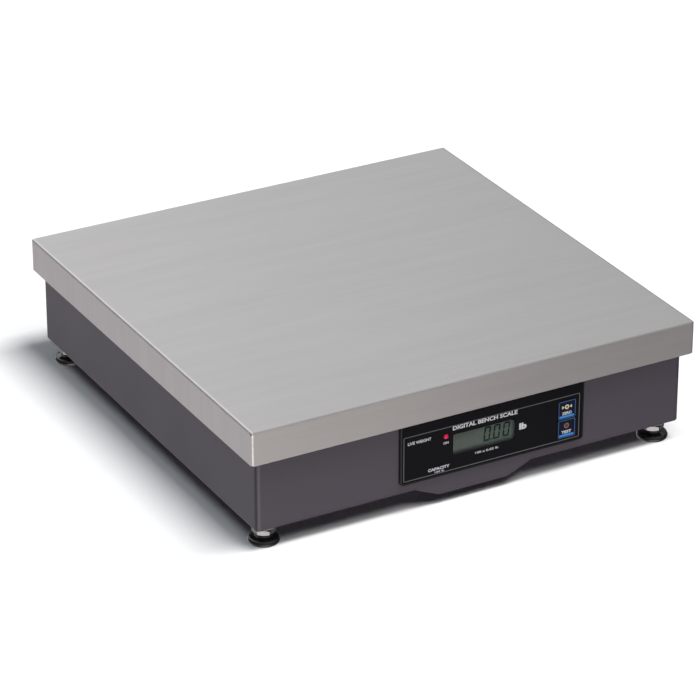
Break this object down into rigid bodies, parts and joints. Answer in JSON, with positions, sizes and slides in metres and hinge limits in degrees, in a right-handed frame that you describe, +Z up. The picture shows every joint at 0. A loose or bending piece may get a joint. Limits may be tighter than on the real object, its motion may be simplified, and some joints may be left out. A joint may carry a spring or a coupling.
{
  "type": "bench weighing scale",
  "caption": "Low square platform scale with a brushed stainless platter over a dark painted base, a front display panel with two keys, and adjustable corner feet.",
  "frame": {"origin": "on the ground, under the centre of the square platter", "axes": "+Z up, -Y the side with the display, +X to the right of someone reading the display"},
  "size_m": [0.4572, 0.4572, 0.1245],
  "materials": {
    "stainless": "brushed stainless sheet, grain along X",
    "base_paint": "dark grey-brown powder coat, fine texture",
    "frame_paint": "satin black paint",
    "zinc": "bright zinc plate",
    "aluminium": "milled, clear anodised",
    "black_plastic": "moulded, fine texture",
    "face_print": "velvet-textured printed polyester",
    "lens": "clear acrylic",
    "lcd": "reflective LCD, grey-green",
    "board": "green solder mask",
    "red_lens": "diffused red LED",
    "key_print": "printed navy key",
    "rubber": "glossy black elastomer",
    "cushion_rubber": "matt rubber",
    "cable": "black cable sheath"
  },
  "bodies": {
    "base": {"base_pan": "base_paint", "cross_member": "frame_paint", "lower_spacer": "zinc", "load_cell": "aluminium", "cell_bolt_lower_front": "zinc", "cell_bolt_lower_rear": "zinc", "bezel": "black_plastic", "overlay": "face_print", "display_lens": "lens", "lcd_module": "lcd", "power_light": "red_lens", "display_board": "board", "zero_switch": "black_plastic", "test_switch": "black_plastic", "power_jack": "black_plastic", "power_jack_nut": "zinc", "load_cell_cable": "cable", "power_lead": "cable", "board_screw_1": "zinc", "board_screw_2": "zinc", "board_screw_3": "zinc", "board_screw_4": "zinc", "stop_post_fl": "zinc", "stop_post_fr": "zinc", "stop_post_bl": "zinc", "stop_post_br": "zinc", "stop_screw_fl": "zinc", "stop_screw_fr": "zinc", "stop_screw_bl": "zinc", "stop_screw_br": "zinc", "foot_nut_fl": "zinc", "foot_nut_fr": "zinc", "foot_nut_bl": "zinc", "foot_nut_br": "zinc", "foot_bushing_fl": "zinc", "foot_bushing_fr": "zinc", "foot_bushing_bl": "zinc", "foot_bushing_br": "zinc"},
    "platform": {"upper_spacer": "zinc", "spider": "frame_paint", "cell_bolt_upper_front": "zinc", "cell_bolt_upper_rear": "zinc", "cushion_fl": "cushion_rubber", "cushion_fr": "cushion_rubber", "cushion_bl": "cushion_rubber", "cushion_br": "cushion_rubber"},
    "platter": {"platter": "stainless"},
    "zero_key": {"zero_key": "key_print", "zero_plunger": "black_plastic"},
    "test_key": {"test_key": "key_print", "test_plunger": "black_plastic"},
    "foot_pad_fl": {"foot_pad_fl": "rubber"},
    "foot_stud_fl": {"foot_stud_fl": "zinc"},
    "foot_pad_fr": {"foot_pad_fr": "rubber"},
    "foot_stud_fr": {"foot_stud_fr": "zinc"},
    "foot_pad_bl": {"foot_pad_bl": "rubber"},
    "foot_stud_bl": {"foot_stud_bl": "zinc"},
    "foot_pad_br": {"foot_pad_br": "rubber"},
    "foot_stud_br": {"foot_stud_br": "zinc"}
  },
  "joints": [
    {"name": "platform_deflection", "type": "slide", "parent": "base", "child": "platform", "axis": [0, 0, 1], "range_m": [-0.0008, 0], "stiffness_N_per_m": 800000, "deforming": ["load_cell"]},
    {"name": "platter_lift", "type": "slide", "parent": "platform", "child": "platter", "axis": [0, 0, 1], "range_m": [0, 0.15]},
    {"name": "zero_key_press", "type": "slide", "parent": "base", "child": "zero_key", "axis": [0, 1, 0], "range_m": [0, 0.0005], "stiffness_N_per_m": 3000, "springref_m": -0.0001},
    {"name": "test_key_press", "type": "slide", "parent": "base", "child": "test_key", "axis": [0, 1, 0], "range_m": [0, 0.0005], "stiffness_N_per_m": 3000, "springref_m": -0.0001},
    {"name": "foot_fl_level", "type": "slide", "parent": "base", "child": "foot_pad_fl", "axis": [0, 0, 1], "range_m": [-0.0075, 0]},
    {"name": "foot_fl_turn", "type": "hinge", "parent": "foot_pad_fl", "child": "foot_stud_fl", "pos_m": [-0.2044, -0.2026, 0.012], "axis": [0, 0, 1], "range_deg": [-1800, 0]},
    {"name": "foot_fr_level", "type": "slide", "parent": "base", "child": "foot_pad_fr", "axis": [0, 0, 1], "range_m": [-0.0075, 0]},
    {"name": "foot_fr_turn", "type": "hinge", "parent": "foot_pad_fr", "child": "foot_stud_fr", "pos_m": [0.2044, -0.2026, 0.012], "axis": [0, 0, 1], "range_deg": [-1800, 0]},
    {"name": "foot_bl_level", "type": "slide", "parent": "base", "child": "foot_pad_bl", "axis": [0, 0, 1], "range_m": [-0.0075, 0]},
    {"name": "foot_bl_turn", "type": "hinge", "parent": "foot_pad_bl", "child": "foot_stud_bl", "pos_m": [-0.2044, 0.2026, 0.012], "axis": [0, 0, 1], "range_deg": [-1800, 0]},
    {"name": "foot_br_level", "type": "slide", "parent": "base", "child": "foot_pad_br", "axis": [0, 0, 1], "range_m": [-0.0075, 0]},
    {"name": "foot_br_turn", "type": "hinge", "parent": "foot_pad_br", "child": "foot_stud_br", "pos_m": [0.2044, 0.2026, 0.012], "axis": [0, 0, 1], "range_deg": [-1800, 0]}
  ],
  "couplings": [
    {"joint": "foot_fl_turn", "follows": "foot_fl_level", "rad_per_m": 4188.8},
    {"joint": "foot_fr_turn", "follows": "foot_fr_level", "rad_per_m": 4188.8},
    {"joint": "foot_bl_turn", "follows": "foot_bl_level", "rad_per_m": 4188.8},
    {"joint": "foot_br_turn", "follows": "foot_br_level", "rad_per_m": 4188.8}
  ]
}
